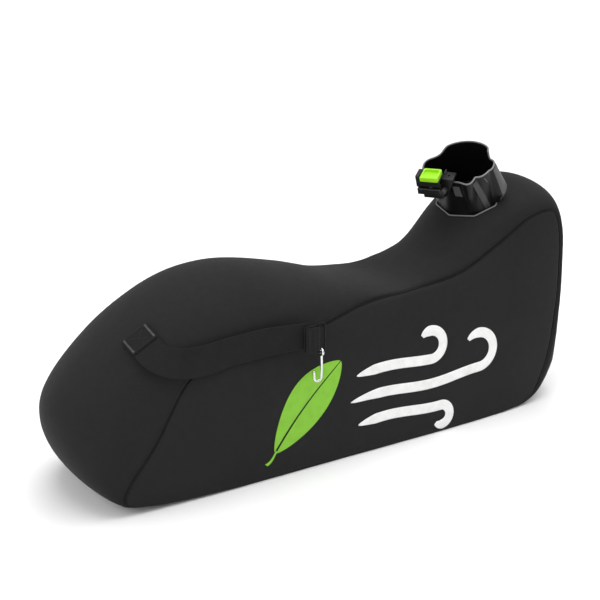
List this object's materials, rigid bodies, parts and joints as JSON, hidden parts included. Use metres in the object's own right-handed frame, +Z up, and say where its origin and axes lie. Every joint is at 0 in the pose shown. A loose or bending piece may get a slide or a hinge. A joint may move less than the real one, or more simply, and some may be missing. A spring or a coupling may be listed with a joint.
{
  "type": "leaf collection bag",
  "caption": "Fabric leaf collection bag with a rigid shaped inlet collar, green latch button, sewn carrying strap with ring and hook, and an emptying zip.",
  "frame": {"origin": "middle of the flat base, on the surface the bag stands on", "axes": "+X towards the heel and collar, -X the nose, -Y the side with the strap, +Z up"},
  "size_m": [0.9203, 0.2593, 0.4514],
  "materials": {
    "panel_fabric": "matte woven polyester, charcoal, coated inside",
    "black_webbing": "matte woven webbing and tape",
    "collar_plastic": "moulded, satin gloss",
    "latch_plastic": "fine texture",
    "lime_plastic": "satin gloss",
    "bright_steel": "bright nickel plate",
    "zip_metal": "dark nickel"
  },
  "bodies": {
    "bag": {"side_panel_near": "panel_fabric", "side_panel_far": "panel_fabric", "nose_panel": "panel_fabric", "top_panel": "panel_fabric", "collar_panel": "panel_fabric", "heel_panel": "panel_fabric", "base_panel": "panel_fabric", "seam_tape_near": "black_webbing", "seam_tape_far": "black_webbing", "strap_webbing": "black_webbing", "strap_patch": "black_webbing", "strap_end_tab": "black_webbing", "zipper_tape_near": "black_webbing", "zipper_tape_far": "black_webbing", "collar_body": "collar_plastic", "collar_clamp_ring": "collar_plastic", "latch_housing": "latch_plastic", "collar_screw_1": "bright_steel", "collar_screw_2": "bright_steel", "collar_screw_3": "bright_steel", "collar_screw_4": "bright_steel", "latch_pin": "bright_steel", "latch_spring": "bright_steel", "zipper_teeth": "zip_metal", "zipper_stop_top": "zip_metal", "zipper_stop_bottom": "zip_metal"},
    "latch": {"latch_lever": "latch_plastic", "latch_button": "lime_plastic"},
    "ring": {"strap_ring": "bright_steel"},
    "hook": {"hook_body": "bright_steel"},
    "slider": {"zipper_slider": "zip_metal"},
    "pull": {"zipper_pull": "zip_metal"}
  },
  "joints": [
    {"name": "latch_press", "type": "hinge", "parent": "bag", "child": "latch", "pos_m": [0.20315, -0.0162, 0.40527], "axis": [0.5655, -0.824, 0.0353], "range_deg": [0, 10], "stiffness_Nm_per_rad": 0.5, "springref_deg": -8.59, "deforming": ["latch_spring"]},
    {"name": "ring_turn", "type": "hinge", "parent": "bag", "child": "ring", "pos_m": [-0.082, -0.1285, 0.223], "axis": [0, 0, -1], "range_deg": [0, 20]},
    {"name": "hook_swing", "type": "hinge", "parent": "ring", "child": "hook", "pos_m": [-0.07525, -0.1285, 0.2], "axis": [-1, 0, 0], "range_deg": [0, 90]},
    {"name": "zip_run", "type": "slide", "parent": "bag", "child": "slider", "axis": [0, 0, -1], "range_m": [0, 0.155]},
    {"name": "pull_swing", "type": "hinge", "parent": "slider", "child": "pull", "pos_m": [0.4504, 0, 0.2598], "axis": [0, -1, 0], "range_deg": [0, 150]}
  ]
}
